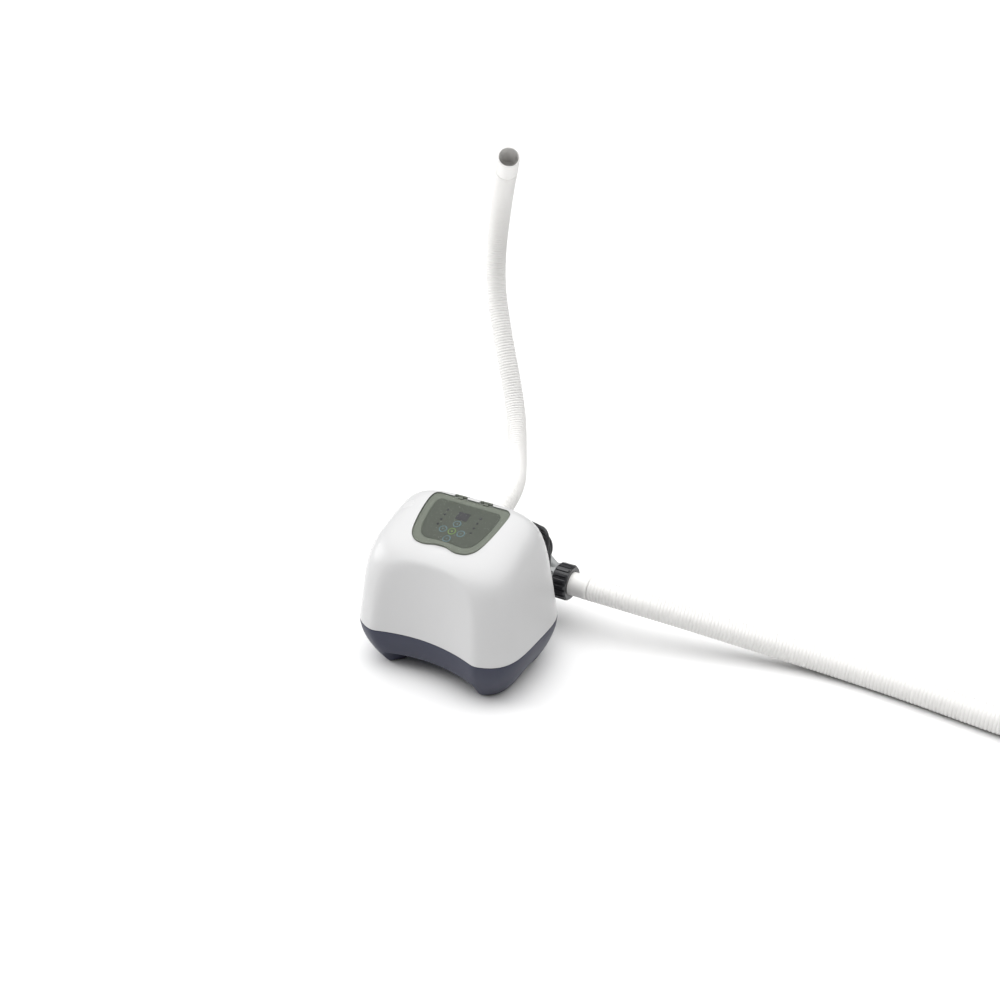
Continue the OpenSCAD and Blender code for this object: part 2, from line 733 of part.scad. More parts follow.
gland_x = 8;
gland_y = 20.4;                    // where the rear face of the shell is, at the gland
gland_z = 196;
relief_length = 26;
hank_x = 74;
hank_y = 50;
hank_low = 79;                     // heights of the centres of the hank's two turns
hank_high = 179;
hank_turn_r = 34;                  // outer radius of the turns
hank_width = 15.4;                 // the strands of one run, side by side
hank_depth = 16;
hook_x = hank_x;
hook_z = hank_high + hank_turn_r - hank_width - 4.3;
tie_z = 128;
plug_at = [38, 57, 0];

cord_route = [[8, 50, 196], [8, 64, 197], [13, 77, 199], [26, 85, 201], [42, 84, 204], [60, 76, 208],
    [78, 65, 212], [92, 57, 215], [101, 53, 209], [103, 51, 197], [103, 50, 184]];
plug_route = [[44, 54, 92], [43, 55, 82], [40, 56, 71], [38, 57, 60]];

module strain_relief() {
    color(black)
    translate([gland_x, 0, gland_z]) rotate([-90, 0, 0]) {
        translate([0, 0, gland_y - 5]) cylinder(r = 6, h = 9);
        translate([0, 0, gland_y + 0.5]) cylinder(r = 8.5, h = 3.5);
        translate([0, 0, gland_y + 4]) cylinder(r1 = 6, r2 = 4.2, h = relief_length);
    }
}

module mains_cord() { color(black) tube(cord_route, lead_r, 10, 3, [0, 0, 1]); }
module plug_cord() { color(black) tube(plug_route, lead_r, 10, 3, [1, 0, 0]); }

module stadium(r) {
    for (z = [hank_low, hank_high]) translate([hank_x, z]) circle(r = r);
    translate([hank_x - r, hank_low]) square([2 * r, hank_high - hank_low]);
}

module mains_hank() {
    color(black)
    translate([0, hank_y + hank_depth / 2, 0]) rotate([90, 0, 0])
        linear_extrude(hank_depth)
            difference() {
                stadium(hank_turn_r);
                stadium(hank_turn_r - hank_width);
            }
}

module hank_ties() {
    color([0.12, 0.12, 0.12])
    for (side = [-1, 1]) translate([hank_x + side * (hank_turn_r - hank_width / 2), hank_y, tie_z])
        difference() {
            translate([-9, -9.5, 0]) cube([18, 19, 5]);
            translate([-7.75, -8.05, -1]) cube([15.5, 16.1, 7]);
        }
}

module cord_hook() {
    color(white)
    translate([hook_x, 0, hook_z]) rotate([-90, 0, 0]) {
        translate([0, 0, 6]) cylinder(r = 4, h = 56);
        translate([0, 0, 60]) cylinder(r = 9, h = 3);
        translate([0, 0, 19.9]) cylinder(r = 8, h = 2);
    }
}

module mains_plug() {
    color(black)
    translate(plug_at) {
        translate([0, 0, 52]) cylinder(r1 = 8, r2 = 5, h = 8);
        translate([-15, -11, 21]) cube([30, 22, 31]);
        color("silver") for (x = [-6.35, 6.35]) translate([x - 0.75, -3, 4]) cube([1.5, 6, 17]);
        color("silver") translate([0, 7, 2]) cylinder(r = 2.4, h = 19);
    }
}

base();
rubber_feet();
upper_shell();
seam_seal();
casing_screws();
panel_tray();
panel_membrane();
display_window();
display_module();
status_leds();
button_top();
button_bottom();
button_left();
button_right();
button_centre();
panel_board();
tact_switches();
panel_screws();
panel_cover();
hinge_pins();
main_board();
board_posts();
board_screws();
transformer();
heat_sink();
capacitors();
relays();
terminal_block();
panel_ribbon();
cell_housing();
electrode_plates();
plate_combs();
cell_terminals();
terminal_cap();
cell_lead();
cell_cradle();
cell_straps();
strap_screws();
flow_sensor();
sensor_nut();
flow_paddle();
sensor_lead();
right_nut();
rear_nut();
right_seal();
rear_seal();
right_cuff();
rear_cuff();
right_hose();
rear_hose();
right_end_cuff();
rear_end_cuff();
strain_relief();
mains_cord();
mains_hank();
plug_cord();
hank_ties();
cord_hook();
mains_plug();
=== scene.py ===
"""Looks of the salt chlorine generator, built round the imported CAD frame.

+Z is up and the front faces -Y. Shapes are written in millimetres, and `piece` turns them into
metres when it makes the mesh.
"""
import json
import math

import bmesh
import bpy
import numpy as np
from mathutils import Matrix, Vector


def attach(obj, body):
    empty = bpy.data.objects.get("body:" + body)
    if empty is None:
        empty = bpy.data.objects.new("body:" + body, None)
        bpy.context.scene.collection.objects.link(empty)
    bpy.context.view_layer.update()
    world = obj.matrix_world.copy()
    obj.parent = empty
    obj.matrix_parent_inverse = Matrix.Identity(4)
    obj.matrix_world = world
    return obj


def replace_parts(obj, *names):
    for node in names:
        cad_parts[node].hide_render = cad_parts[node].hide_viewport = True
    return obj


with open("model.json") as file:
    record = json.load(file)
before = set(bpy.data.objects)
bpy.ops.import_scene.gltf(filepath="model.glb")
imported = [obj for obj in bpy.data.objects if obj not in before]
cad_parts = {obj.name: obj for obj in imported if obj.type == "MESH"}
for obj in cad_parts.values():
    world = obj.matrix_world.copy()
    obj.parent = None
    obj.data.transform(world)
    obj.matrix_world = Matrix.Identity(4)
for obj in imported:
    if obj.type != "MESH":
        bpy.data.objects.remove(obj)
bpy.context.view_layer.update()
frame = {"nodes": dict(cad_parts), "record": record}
scene = bpy.context.scene
scene.view_settings.view_transform = "Standard"

MM = 1000                       # millimetres in a metre
SHARP = 35                      # degrees between faces from which an edge is drawn sharp

# ------------------------------------------------------------------ camera

camera = bpy.data.objects.new("camera", bpy.data.cameras.new("camera"))
camera.location = (0.79725, -1.29648, 1.062)
camera.rotation_euler = (math.radians(62.61), 0, math.radians(30.4217))
camera.data.lens = 36
camera.data.sensor_width = 36
scene.collection.objects.link(camera)
scene.camera = camera

# ------------------------------------------------------------------ materials

GRAIN_DEPTH = 0.0002            # metres that the fine grain stands proud


def finish(name, colour, rough=0.4, metal=0.0, coat=0.0, grain=900.0, bump=0.08, mottle=0.05,
           rough_spread=0.08, cloud=14.0, brushed=None, alpha=None, ior=1.46):
    """A moulded or metal surface: uneven roughness, slight clouding of the colour, fine grain.

    grain and cloud are the scales of the fine and the soft noise, and brushed stretches both.
    """
    material = bpy.data.materials.new(name)
    material.use_nodes = True
    tree = material.node_tree
    shader = tree.nodes["Principled BSDF"]
    add, link = tree.nodes.new, tree.links.new
    place = add("ShaderNodeTexCoord")
    mapping = add("ShaderNodeMapping")
    link(place.outputs["Object"], mapping.inputs["Vector"])
    if brushed:
        mapping.inputs["Scale"].default_value = brushed
    soft = add("ShaderNodeTexNoise")
    soft.inputs["Scale"].default_value = cloud
    soft.inputs["Detail"].default_value = 3
    link(mapping.outputs["Vector"], soft.inputs["Vector"])
    mix = add("ShaderNodeMix")
    mix.data_type = "RGBA"
    factor, darker, lighter, mixed = mix.inputs[0], mix.inputs[6], mix.inputs[7], mix.outputs[2]
    darker.default_value = (*[c * (1 - mottle) for c in colour], 1)
    lighter.default_value = (*[min(1, c * (1 + mottle)) for c in colour], 1)
    link(soft.outputs["Fac"], factor)
    link(mixed, shader.inputs["Base Color"])
    fine = add("ShaderNodeTexNoise")
    fine.inputs["Scale"].default_value = grain
    fine.inputs["Detail"].default_value = 2
    link(mapping.outputs["Vector"], fine.inputs["Vector"])
    spread = add("ShaderNodeMapRange")
    spread.inputs["To Min"].default_value = max(0.02, rough - rough_spread)
    spread.inputs["To Max"].default_value = min(1, rough + rough_spread)
    link(soft.outputs["Fac"], spread.inputs["Value"])
    link(spread.outputs["Result"], shader.inputs["Roughness"])
    relief = add("ShaderNodeBump")
    relief.inputs["Strength"].default_value = bump
    relief.inputs["Distance"].default_value = GRAIN_DEPTH
    link(fine.outputs["Fac"], relief.inputs["Height"])
    link(relief.outputs["Normal"], shader.inputs["Normal"])
    shader.inputs["Metallic"].default_value = metal
    shader.inputs["Coat Weight"].default_value = coat
    shader.inputs["IOR"].default_value = ior
    if alpha is not None:
        shader.inputs["Alpha"].default_value = alpha
    return material


MATERIALS = {
    "slate_plastic": finish("slate_plastic", (0.033, 0.036, 0.060), 0.45, bump=0.12, ior=1.35),
    "white_gloss": finish("white_gloss", (0.52, 0.52, 0.522), 0.27, mottle=0.004, bump=0.02,
                          rough_spread=0.01, ior=1.36),
    "sage_plastic": finish("sage_plastic", (0.128, 0.140, 0.115), 0.42, bump=0.08, ior=1.25),
    "sage_membrane": finish("sage_membrane", (0.050, 0.054, 0.045), 0.5, grain=1500, bump=0.15,
                            ior=1.2),
    "clear_cover": finish("clear_cover", (0.30, 0.34, 0.29), 0.08, alpha=0.06, mottle=0.03,
                          bump=0.01, ior=1.15),
    "dark_lens": finish("dark_lens", (0.016, 0.011, 0.021), 0.2, bump=0.01, ior=1.2),
    "black_plastic": finish("black_plastic", (0.018, 0.018, 0.021), 0.33, coat=0.1, bump=0.15),
    "black_rubber": finish("black_rubber", (0.016, 0.016, 0.018), 0.48, bump=0.2),
    "grey_plastic": finish("grey_plastic", (0.33, 0.34, 0.34), 0.38, bump=0.1),
    "light_grey_plastic": finish("light_grey_plastic", (0.56, 0.57, 0.56), 0.35, bump=0.08),
    "hose_white": finish("hose_white", (0.73, 0.722, 0.708), 0.45, mottle=0.015, bump=0.05),
    "steel": finish("steel", (0.55, 0.55, 0.56), 0.28, metal=1, brushed=(1, 1, 8), bump=0.1),
    "brass": finish("brass", (0.72, 0.52, 0.22), 0.3, metal=1, bump=0.05),
    "titanium": finish("titanium", (0.30, 0.29, 0.30), 0.5, metal=1, grain=600, bump=0.3),
    "aluminium": finish("aluminium", (0.68, 0.69, 0.70), 0.35, metal=1, brushed=(1, 9, 1),
                        bump=0.1),
    "circuit_board": finish("circuit_board", (0.010, 0.105, 0.045), 0.35, coat=0.3, mottle=0.25,
                            cloud=220, bump=0.1),
    "module_plastic": finish("module_plastic", (0.022, 0.022, 0.024), 0.5),
    "relay_blue": finish("relay_blue", (0.020, 0.085, 0.32), 0.4),
    "capacitor_sleeve": finish("capacitor_sleeve", (0.020, 0.028, 0.095), 0.3),
    "terminal_green": finish("terminal_green", (0.025, 0.22, 0.065), 0.45),
    "transformer_core": finish("transformer_core", (0.085, 0.085, 0.09), 0.5, mottle=0.2,
                               brushed=(1, 1, 60), bump=0.3),
    "ribbon": finish("ribbon", (0.50, 0.50, 0.52), 0.45, brushed=(60, 1, 1), cloud=18, mottle=0.25),
    "paddle_orange": finish("paddle_orange", (0.70, 0.20, 0.025), 0.4),
    "ring_blue": finish("ring_blue", (0.07, 0.15, 0.19), 0.45, bump=0.1),
    "ring_green": finish("ring_green", (0.13, 0.23, 0.03), 0.45, bump=0.1),
    # dark olive for the cover's rim and the hinge knuckles; on the rim it is partly the rim's own
    # colour and partly painted shadow of the gap round the cover
    "cover_edge": finish("cover_edge", (0.085, 0.095, 0.075), 0.25, bump=0.02),
}

for part in frame["record"]["subparts"]:
    shown = frame["nodes"][part["node"]]
    shown.data.materials.clear()
    shown.data.materials.append(MATERIALS[part["material_slot"]])

# ------------------------------------------------------------------ mesh helpers


def piece(name, verts, faces, material, body="unit", sharp=SHARP, marks=None, extra=()):
    """A mesh from millimetre points. marks gives a material number for each face."""
    mesh = bpy.data.meshes.new(name)
    mesh.from_pydata([tuple(c / MM for c in v) for v in verts], [], faces)
    for slot in (material, *extra):
        mesh.materials.append(MATERIALS[slot])
    if marks is not None:
        mesh.polygons.foreach_set("material_index", marks)
    tidy = bmesh.new()
    tidy.from_mesh(mesh)
    bmesh.ops.remove_doubles(tidy, verts=tidy.verts, dist=1e-7)
    bmesh.ops.recalc_face_normals(tidy, faces=tidy.faces)
    tidy.to_mesh(mesh)
    tidy.free()
    mesh.shade_smooth()
    mesh.set_sharp_from_angle(angle=math.radians(sharp))
    thing = bpy.data.objects.new(name, mesh)
    scene.collection.objects.link(thing)
    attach(thing, body)
    return thing


def loft(rings, closed=False, caps=True):
    """Points and faces of a skin over rings of equal length.

    A closed loft runs from the last ring to the first, and an open one gets a fan at each end.
    """
    count = len(rings[0])
    verts = [tuple(p) for ring in rings for p in ring]
    faces = []
    last = len(rings) if closed else len(rings) - 1
    for j in range(last):
        a, b = j * count, (j + 1) % len(rings) * count
        faces += [(a + i, a + (i + 1) % count, b + (i + 1) % count, b + i) for i in range(count)]
    if caps and not closed:
        for start in (0, (len(rings) - 1) * count):
            centre = np.mean([verts[start + i] for i in range(count)], axis=0)
            verts.append(tuple(centre))
            faces += [(start + i, start + (i + 1) % count, len(verts) - 1) for i in range(count)]
    return verts, faces


def joined(*parts):
    """Several shapes as one."""
    verts, faces = [], []
    for v, f in parts:
        base = len(verts)
        verts += list(v)
        faces += [tuple(i + base for i in face) for face in f]
    return verts, faces


def placed(matrix, part):
    """A shape moved by a matrix."""
    verts, faces = part
    return [tuple(matrix @ Vector(v)) for v in verts], faces


def towards(origin, direction):
    """Matrix that puts the local z axis along direction, in millimetres."""
    turn = Vector(direction).normalized().to_track_quat("Z", "Y").to_matrix().to_4x4()
    return Matrix.Translation(Vector(origin)) @ turn


def circle(r, z, count):
    """Points evenly round the local z axis, in millimetres."""
    return [(r * math.cos(2 * math.pi * i / count), r * math.sin(2 * math.pi * i / count), z)
            for i in range(count)]


def lathe(profile, count=96, closed=False):
    """Rings round the local z axis through (radius, height) points."""
    return loft([circle(r, z, count) for r, z in profile], closed=closed)


CORNER_STEPS = 5                # points round each upright corner of a box


def rounded_box(low, high, r=0.6):
    """A box with rounded edges, made as rings of a rounded rectangle that draw in at both ends."""
    cx, cy = (low[0] + high[0]) / 2, (low[1] + high[1]) / 2
    hx, hy = (high[0] - low[0]) / 2, (high[1] - low[1]) / 2

    def ring(cut, z):
        out = []
        for sx, sy, a0 in ((1, 1, 0), (-1, 1, 90), (-1, -1, 180), (1, -1, 270)):
            for k in range(CORNER_STEPS):
                a = math.radians(a0 + 90 / (CORNER_STEPS - 1) * k)
                out.append((cx + sx * (hx - r) + (r - cut) * math.cos(a),
                            cy + sy * (hy - r) + (r - cut) * math.sin(a), z))
        return out

    steps = [(r * (1 - math.sin(a)), r * (1 - math.cos(a))) for a in
             (0.01, math.pi / 6, math.pi / 3, math.pi / 2)]
    rings = [ring(cut, low[2] + rise) for cut, rise in steps]
    rings += [ring(cut, high[2] - rise) for cut, rise in reversed(steps)]
    return loft(rings)


def cut_away(thing, cutters):
    """Takes closed millimetre shapes out of a piece."""
    verts, faces = joined(*cutters)
    mesh = bpy.data.meshes.new("cutter")
    mesh.from_pydata([tuple(c / MM for c in v) for v in verts], [], faces)
    mesh.materials.append(thing.data.materials[0])
    clean = bmesh.new()
    clean.from_mesh(mesh)
    bmesh.ops.recalc_face_normals(clean, faces=clean.faces)
    clean.to_mesh(mesh)
    clean.free()
    tool = bpy.data.objects.new("cutter", mesh)
    scene.collection.objects.link(tool)
    change = thing.modifiers.new("cut", "BOOLEAN")
    change.operation = "DIFFERENCE"
    change.solver = "EXACT"
    change.use_self = True
    change.object = tool
    seen = bpy.context.evaluated_depsgraph_get()
    result = bpy.data.meshes.new_from_object(thing.evaluated_get(seen))
    thing.modifiers.clear()
    thing.data = result
    bpy.data.objects.remove(tool)
    result.set_sharp_from_angle(angle=math.radians(SHARP))


# ------------------------------------------------------------------ curves


def catmull(a, b, c, d, t):
    """The point at share t of the way from b to c on a smooth curve through all four."""
    return 0.5 * (2 * b + (c - a) * t + (2 * a - 5 * b + 4 * c - d) * t * t
                  + (3 * b - a - 3 * c + d) * t ** 3)


def spline(points, step):
    """Points about a step apart along a smooth curve through the given ones."""
    P = np.array(points, float)
    P = np.vstack([2 * P[0] - P[1], P, 2 * P[-1] - P[-2]])
    out = []
    for k in range(1, len(P) - 2):
        a, b, c, d = P[k - 1:k + 3]
        for t in np.linspace(0, 1, 24, endpoint=False):
            out.append(catmull(a, b, c, d, t))
    out.append(P[-2])
    return even(np.array(out), step)


def even(line, step):
    """The same line in equal steps."""
    gone = np.concatenate([[0], np.cumsum(np.linalg.norm(np.diff(line, axis=0), axis=1))])
    count = max(2, int(round(gone[-1] / step)) + 1)
    at = np.linspace(0, gone[-1], count)
    return np.stack([np.interp(at, gone, line[:, k]) for k in range(3)], axis=1)


def relax(line, rounds, hold=2):
    """Evens the curvature along a line, keeping its ends and their directions."""
    line = line.copy()
    for _ in range(rounds):
        neighbours = line[hold - 1:-hold - 1] + line[hold + 1:len(line) - hold + 1]
        line[hold:-hold] += 0.5 * (neighbours / 2 - line[hold:-hold])
    return line


def sweep(line, radii, count, up=(0, 0, 1)):
    """Closed tube along a line with its own radius at each point."""
    tangents = np.gradient(line, axis=0)
    tangents /= np.linalg.norm(tangents, axis=1)[:, None]
    side = np.array(up, float)
    rings = []
    for point, along, radius in zip(line, tangents, radii):
        side = side - side.dot(along) * along
        side /= np.linalg.norm(side)
        other = np.cross(along, side)
        rings.append([tuple(point + radius * (math.cos(a) * side + math.sin(a) * other))
                      for a in np.linspace(0, 2 * math.pi, count, endpoint=False)])
    return loft(rings)


# ------------------------------------------------------------------ hoses

CELL_Y, CELL_Z = 112, 84        # axis of the cell, which runs along x
PORT = Vector((-98, CELL_Y, CELL_Z))
PORT_TILT = math.radians(18)
PORT_DIR = Vector((0, math.cos(PORT_TILT), math.sin(PORT_TILT)))
HOSE_R = 22                     # over the ridges
GROOVE = 1.35                   # depth of the grooves
RIDGE_PITCH = 6.0
POINTS_PER_RIDGE = 6
HOSE_ROUNDS = 200               # rounds of smoothing of a hose's route
CUFF_LENGTH, END_CUFF_LENGTH = 52, 50
RIGHT_ROUTE = [(160, CELL_Y, CELL_Z), (195, 113.5, 83), (230, 117.5, 80.5), (300, 131, 71.5),
               (370, 148.5, 59), (440, 167, 45.5), (510, 183, 33.5), (580, 193, 25),
               (650, 194, 22.5), (720, 190, 22.5), (790, 184, 22.5), (860, 178, 22.5),
               (920, 176, 22.5), (975, 179, 22.5), (1041, 194, 22.5), (1102, 232, 22.5),
               (1144, 291, 22.5), (1160, 361, 22.5), (1149, 433, 22.5), (1111, 495, 22.5),
               (1054, 538, 22.5), (986, 556, 22.5)]
REAR_ROUTE = [(-98, 222, 120), (-98, 240, 126), (-102, 276, 135), (-116, 320, 141),
              (-140, 368, 144), (-168, 418, 155), (-197, 470, 191), (-226, 506, 245),
              (-250, 526, 300), (-272, 543, 350), (-292, 560, 397), (-308, 573, 445),
              (-315, 580, 500), (-310, 577, 560), (-290, 556, 624), (-259, 515, 681),
              (-216, 455, 737)]


def ridge(s):
    """Radius of the hose at distance s: rounded ridges with narrow grooves between them."""
    phase = s / RIDGE_PITCH % 1
    return HOSE_R - GROOVE * abs(2 * phase - 1) ** 2.6


def cuff_profile(length, flange):
    """Outer and inner line of a hose end, from its open end; the flange sits under the nut."""
    start = [(25.2, 0), (25.2, 3), (21.9, 3)] if flange else [(20.6, 0), (21.3, 0.4), (21.7, 1.4)]
    body = [(21.7, 6), (21.7, length - 9), (22.0, length - 7.5), (22.0, length - 2.5),
            (21.6, length - 1.2), (20.4, length), (19, length), (19, 0)]
    return start + body


def far_matrix(route):
    """Where the cuff at a route's far end goes, with its open end outwards."""
    a, b = Vector(route[-2]), Vector(route[-1])
    back = Matrix.Rotation(math.pi, 4, "X")
    return towards(b, b - a) @ Matrix.Translation((0, 0, END_CUFF_LENGTH)) @ back


for side, route, near, up in (
        ("right", RIGHT_ROUTE, towards((108, CELL_Y, CELL_Z), (1, 0, 0)), (0, 0, 1)),
        ("rear", REAR_ROUTE, towards(PORT + 64 * PORT_DIR, PORT_DIR), (1, 0, 0))):
    rough_line = spline(route, 4.0)
    # what the smoothing will pull inwards at the bends is added first, so the route keeps its place
    line = relax(2 * rough_line - relax(rough_line, HOSE_ROUNDS), HOSE_ROUNDS)
    fine_line = even(line, RIDGE_PITCH / POINTS_PER_RIDGE)
    ridges = [ridge(i * RIDGE_PITCH / POINTS_PER_RIDGE) for i in range(len(fine_line))]
    hose = piece(f"{side}_hose_ridged", *sweep(fine_line, ridges, 36, up), "hose_white", sharp=80)
    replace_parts(hose, f"{side}_hose")
    near_shape = lathe(cuff_profile(CUFF_LENGTH, True), closed=True)
    cuff = piece(f"{side}_cuff_moulded", *placed(near, near_shape), "hose_white")
    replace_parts(cuff, f"{side}_cuff")
    end_shape = lathe(cuff_profile(END_CUFF_LENGTH, False), closed=True)
    end = piece(f"{side}_end_cuff_moulded", *placed(far_matrix(route), end_shape), "hose_white")
    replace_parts(end, f"{side}_end_cuff")

# ------------------------------------------------------------------ mains lead

LEAD_R = 3.25
HANK_X, HANK_LOW, HANK_HIGH = 74, 79, 179       # middle of the hank, ends of its straight runs
WIDE, NARROW = 30.5, 23.3                       # radii of its outer and inner turns
LAYERS = (46, 54, 61.5)                         # y of its strands
CORD_ROUTE = [(8, 50, 196), (8, 64, 197), (13, 77, 199), (26, 85, 201), (42, 84, 204),
              (60, 76, 208), (78, 65, 212), (92, 57, 215), (101, 51, 209), (104, 48, 197),
              (104.5, 46.5, 184)]


def turn_of_hank(first, last, first_y, last_y, steps=60):
    """One turn: down the right, round the bottom, up the left, over the top to the next strand."""
    out = []
    run = HANK_HIGH - HANK_LOW
    total = 2 * run + 2 * math.pi * first
    for i in range(steps):
        s = total * i / steps
        share = max(0.0, (s - (total - math.pi * first)) / (math.pi * first))
        ease = share * share * (3 - 2 * share)
        r, y = first + (last - first) * ease, first_y + (last_y - first_y) * ease
        if s < run:
            x, z = HANK_X + r, HANK_HIGH - s
        elif s < run + math.pi * first:
            a = -(s - run) / first
            x, z = HANK_X + r * math.cos(a), HANK_LOW + r * math.sin(a)
        elif s < 2 * run + math.pi * first:
            x, z = HANK_X - r, HANK_LOW + s - run - math.pi * first
        else:
            a = math.pi - (s - 2 * run - math.pi * first) / first
            x, z = HANK_X + r * math.cos(a), HANK_HIGH + r * math.sin(a)
        out.append((x, y, z))
    return out


lead_points = [tuple(p) for p in spline(CORD_ROUTE, 3)[:-2]]
for first, last, y0, y1 in ((WIDE, NARROW, LAYERS[0], LAYERS[0]),
                            (NARROW, NARROW, LAYERS[0], LAYERS[1]),
                            (NARROW, WIDE, LAYERS[1], LAYERS[1]),
                            (WIDE, WIDE, LAYERS[1], LAYERS[2])):
    lead_points += turn_of_hank(first, last, y0, y1)
# the last turn leaves on a slant across the hank, down to the plug
for k in range(1, 6):
    a = -math.radians(34.3) * k / 5
    lead_points.append((HANK_X + WIDE * math.cos(a), LAYERS[2], HANK_HIGH + WIDE * math.sin(a)))
lead_points += [(88, 62, 145), (74, 62.3, 124.5), (60, 62, 104), (50, 60.5, 89), (42.5, 58.4, 76),
                (39, 57.2, 67.5), (38, 57, 60)]
lead_line = relax(spline(lead_points, 2.5), 8)
lead_curve = bpy.data.curves.new("mains_lead", "CURVE")
lead_curve.dimensions = "3D"
lead_curve.bevel_depth = LEAD_R / MM
lead_curve.bevel_resolution = 4
lead_curve.use_fill_caps = True
strand = lead_curve.splines.new("POLY")
strand.points.add(len(lead_line) - 1)
for point, p in zip(strand.points, lead_line):
    point.co = (*(p / MM), 1)
strand.use_smooth = True
lead_curve.materials.append(MATERIALS["black_rubber"])
lead = bpy.data.objects.new("mains_lead", lead_curve)
scene.collection.objects.link(lead)
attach(lead, "unit")
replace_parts(lead, "mains_cord", "mains_hank", "plug_cord")

# strain relief: flange against the shell, then a ribbed taper
relief = [(5.9, 15), (5.9, 20.9), (8.5, 20.9), (8.5, 23.6), (7.9, 24.4), (6.2, 24.4)]
for k in range(6):
    at = 26 + k * 4
    r = 6.0 - 0.28 * k
    relief += [(r, at), (r, at + 1.9), (r - 1.2, at + 2.3), (r - 1.2, at + 3.6)]
relief += [(4.3, 49.6), (3.9, 50.4)]
strain = piece("strain_relief_ribbed",
               *placed(towards((8, 0, 196), (0, 1, 0)), lathe(relief, 48)), "black_rubber")
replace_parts(strain, "strain_relief")

# plug: rounded body with grip ridges, tapered neck, two blades and an earth pin
neck = [(9.5, 50.5), (8.6, 52.5)]
for k in range(3):
    r = 7.6 - 0.8 * k
    neck += [(r, 53.5 + 2 * k), (r, 54.7 + 2 * k), (r - 1, 55 + 2 * k), (r - 1, 55.3 + 2 * k)]
neck += [(4.6, 59.6), (4.2, 60)]
plug_parts = [rounded_box((-15, -11, 21), (15, 11, 51.5), 3.2), lathe(neck, 40)]
for side in (-1, 1):
    for k in range(4):
        x = side * 15.1
        z = 31 + 4 * k
        plug_parts.append(rounded_box((x - 0.8, -7.5, z), (x + 0.8, 7.5, z + 2), 0.7))
blades = [rounded_box((x - 0.75, -3, 4), (x + 0.75, 3, 22), 0.3) for x in (-6.35, 6.35)]
blades.append(placed(Matrix.Translation((0, 7, 0)),
                     lathe([(0.9, 2), (1.9, 2.8), (2.4, 4.2), (2.4, 22)], 32)))
plug_place = Matrix.Translation((38, 57, 0))
plug = piece("plug_body", *placed(plug_place, joined(*plug_parts)), "black_rubber")
pins = piece("plug_pins", *placed(plug_place, joined(*blades)), "steel")
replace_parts(plug, "mains_plug")

# ------------------------------------------------------------------ casing

CASE_Y, HALF_W, FRONT_D, REAR_D, SEAM, TOP = -79, 158.5, 124, 121, 87, 268
SQUARE = 4.1                    # exponent of the rounded-square outline
ROOF_TILT = math.radians(21)
PANEL_TILT, PANEL_Z = math.radians(19.5), 264
WALL = 3
TURNS = 320


def smooth_max(a, b, k):
    """The larger of two numbers, with the crease between them rounded over k."""
    h = np.maximum(k - np.abs(a - b), 0) / k
    return np.maximum(a, b) + h * h * k / 4


def shell_point(p, zf, rf, t):
    """Points of the shell's skin at angles p, zf of the way up and rf of the way out, t inside."""
    b = np.where(np.sin(p) < 0, FRONT_D, REAR_D)
    lean = np.where(np.sin(p) < 0, 0.20, 0.378)
    across, along = np.abs(np.cos(p)) / HALF_W, np.abs(np.sin(p)) / b
    r = rf / (across ** SQUARE + along ** SQUARE) ** (1 / SQUARE)
    x = r * np.cos(p) * (1 - 0.113 * zf) * (1 - t / HALF_W)
    y0 = r * np.sin(p) * (1 - lean * zf) * (1 - t / b)
    roof = TOP + math.tan(ROOF_TILT) * y0 - (x / 100) ** 2 - 5 * (y0 / 100) ** 2
    z = SEAM + (roof - t - SEAM) * zf
    rise = np.maximum(0, z - SEAM)
    hollow = -FRONT_D + 23.8 + rise * 0.108 - x * x * (0.00185 - rise * 0.0000027)
    return np.stack([x, smooth_max(y0, hollow + t, 5) + CASE_Y, z], axis=-1)


def scooped(points):
    """The shallow finger scoop in the roof, in front of the notch of the panel cover."""
    cos, sin = math.cos(PANEL_TILT), math.sin(PANEL_TILT)
    w = (points[:, 1] - CASE_Y) * cos + (points[:, 2] - PANEL_Z) * sin
    n = -(points[:, 1] - CASE_Y) * sin + (points[:, 2] - PANEL_Z) * cos
    near = np.abs(n) < 14
    depth = 2.6 * np.exp(-(points[:, 0] / 15) ** 2 - ((w + 57) / 7.5) ** 2) * near
    points = points.copy()
    points[:, 1] += depth * sin
    points[:, 2] -= depth * cos
    return points


ANGLES = np.linspace(0, 2 * math.pi, TURNS, endpoint=False)
WALLS = np.concatenate([np.linspace(0, 0.8, 44), 0.8 + 0.18 * np.linspace(0.04, 1, 26)])
ROOFS = np.linspace(0.865, 0.12, 44)


def round_off(s):
    """How far out the shoulder is at share s of its height, and the other way round."""
    return (1 - s ** 7) ** (1 / 7)


outer = [shell_point(ANGLES, s, round_off(s), 0) for s in WALLS]
outer += [scooped(shell_point(ANGLES, round_off(s), s, 0)) for s in ROOFS]
outer[0] = shell_point(ANGLES, 0.0, 1.0, 0.9)
outer.insert(1, shell_point(ANGLES, 0.004, 1.0, 0.25))
outer.insert(2, shell_point(ANGLES, 0.008, 1.0, 0.0))
inner = [shell_point(ANGLES, s, round_off(s), WALL) for s in np.linspace(0, 0.97, 16)]
inner += [shell_point(ANGLES, round_off(s), s, WALL) for s in (0.8, 0.6, 0.4, 0.2)]
skin_verts, skin_faces = loft(list(reversed(outer)) + inner)
shell = piece("shell_moulded", skin_verts, skin_faces, "white_gloss")
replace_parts(shell, "upper_shell")


BASE_INSET = 36                 # how much the base draws in from the seam to the floor
FOOT_ANGLE = 31                 # degrees from the x axis to each foot
FOOT_LEVEL, ARCH_RISE, FLOOR_LEVEL = 2, 35, 37  # undersides of feet and arches, bottom plate


def base_inset(z):
    return BASE_INSET * np.power(np.maximum(0, SEAM - z) / SEAM, 1.8)


